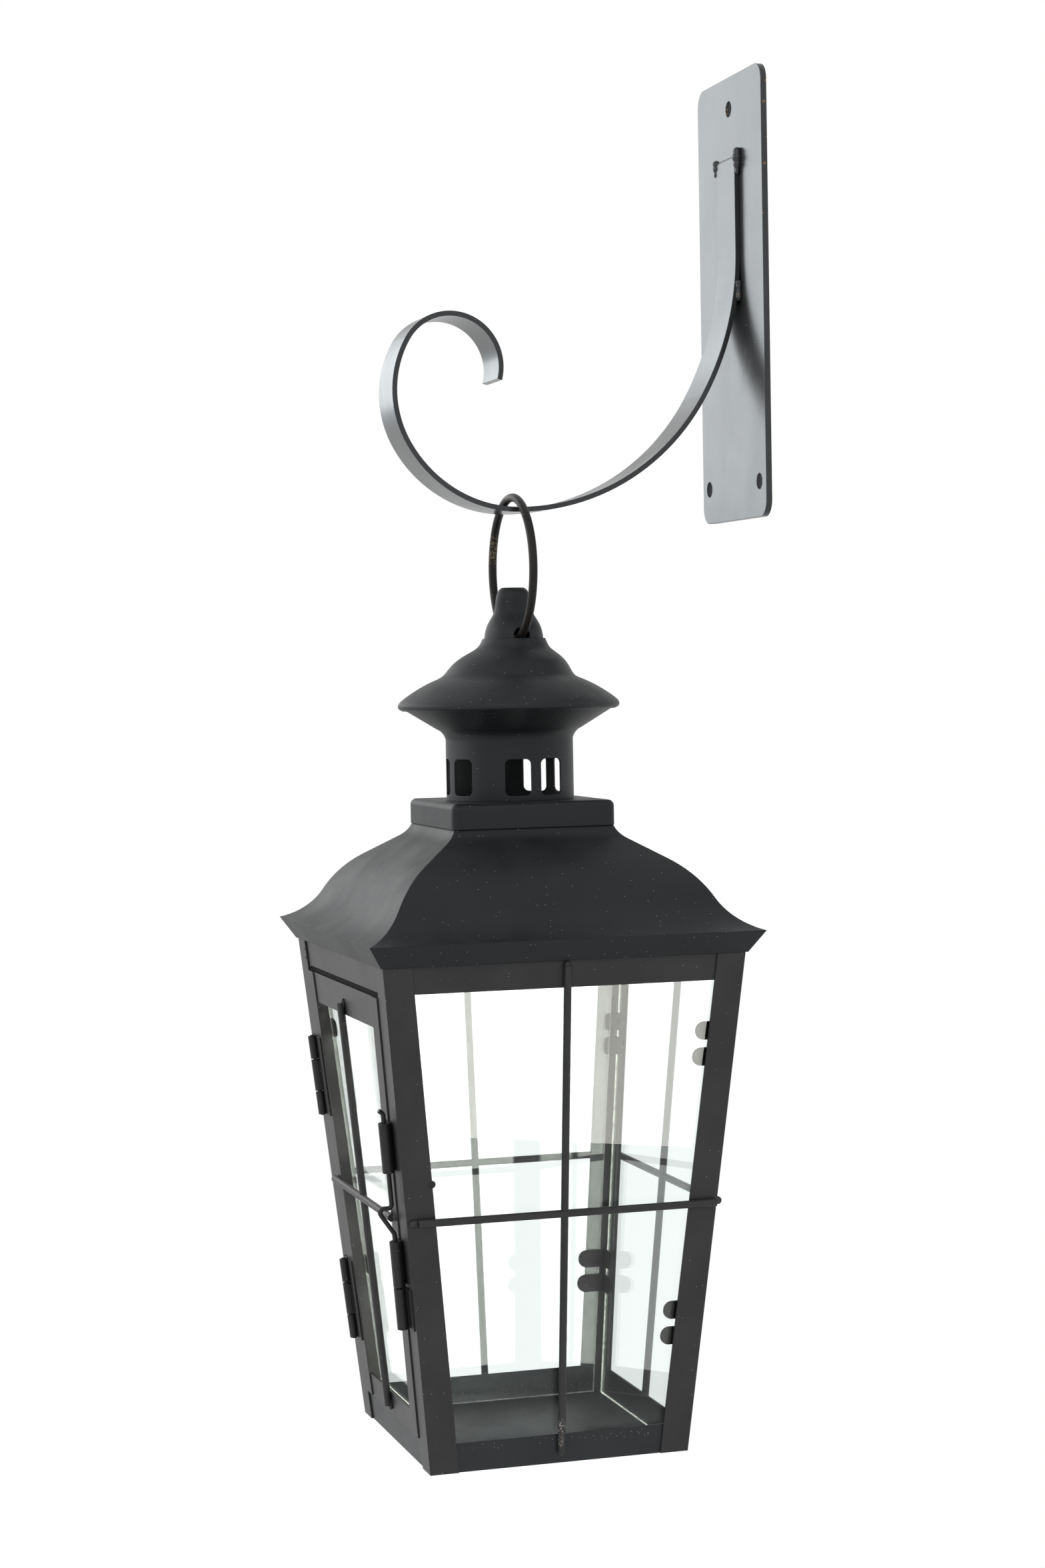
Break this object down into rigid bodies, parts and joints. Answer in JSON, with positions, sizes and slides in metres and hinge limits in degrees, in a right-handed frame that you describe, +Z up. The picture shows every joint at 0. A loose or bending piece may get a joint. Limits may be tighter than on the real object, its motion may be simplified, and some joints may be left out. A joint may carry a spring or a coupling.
{
  "type": "wall-hung candle lantern",
  "caption": "Square tapered black metal candle lantern with glass panes, a latched hinged door, a vented chimney and a hanging ring, on a scrolled strip wall bracket.",
  "frame": {"origin": "centre of the wall plate's back face", "axes": "+Y into the wall, +Z up, +X to the right when facing the wall; the lantern hangs on the -Y side with its door facing -Y"},
  "size_m": [0.16, 0.1822, 0.5567],
  "materials": {
    "bracket_paint": "satin charcoal black, dusty",
    "ring_paint": "satin black, worn to bronze where it rubs",
    "lantern_paint": "satin charcoal black, dusty",
    "fitting_paint": "satin black",
    "clear_glass": "clear, faintly green"
  },
  "bodies": {
    "bracket": {"wall_plate": "bracket_paint", "scroll_arm": "bracket_paint", "weld_beads": "bracket_paint"},
    "ring": {"hanging_ring": "ring_paint"},
    "lantern": {"hanger_knob": "lantern_paint", "cap_dome": "lantern_paint", "chimney": "lantern_paint", "crown": "lantern_paint", "roof": "lantern_paint", "post_front_left": "lantern_paint", "post_front_right": "lantern_paint", "post_back_left": "lantern_paint", "post_back_right": "lantern_paint", "top_rail_front": "lantern_paint", "top_rail_back": "lantern_paint", "top_rail_left": "lantern_paint", "top_rail_right": "lantern_paint", "base_tray": "lantern_paint", "pane_left": "clear_glass", "pane_right": "clear_glass", "pane_back": "clear_glass", "glass_clips": "fitting_paint", "muntin_left": "lantern_paint", "muntin_right": "lantern_paint", "muntin_back": "lantern_paint", "upper_hinge_post_leaf": "fitting_paint", "lower_hinge_post_leaf": "fitting_paint", "upper_hinge_pin": "fitting_paint", "lower_hinge_pin": "fitting_paint", "latch_keeper": "fitting_paint"},
    "door": {"door_hinge_stile": "lantern_paint", "door_latch_stile": "lantern_paint", "door_top_rail": "lantern_paint", "door_bottom_rail": "lantern_paint", "door_glass": "clear_glass", "door_glass_tabs": "fitting_paint", "door_muntin": "lantern_paint", "upper_hinge_door_leaf": "fitting_paint", "lower_hinge_door_leaf": "fitting_paint", "latch_upper_barrel": "fitting_paint", "latch_lower_barrel": "fitting_paint"},
    "latch": {"latch_bolt": "fitting_paint"}
  },
  "joints": [
    {"name": "ring_sway", "type": "hinge", "parent": "bracket", "child": "ring", "pos_m": [0, -0.0995, -0.11094], "axis": [0, 1, 0], "range_deg": [-30, 30]},
    {"name": "lantern_swing", "type": "hinge", "parent": "ring", "child": "lantern", "pos_m": [0, -0.0995, -0.1372], "axis": [1, 0, 0], "range_deg": [-40, 8]},
    {"name": "door_swing", "type": "hinge", "parent": "lantern", "child": "door", "pos_m": [-0.0511, -0.16785, -0.36765], "axis": [0.0995, 0.0995, -0.9901], "range_deg": [0, 130]},
    {"name": "latch_lift", "type": "slide", "parent": "door", "child": "latch", "axis": [0.0995, -0.0995, 0.9901], "range_m": [-0.0024, 0.009]}
  ]
}
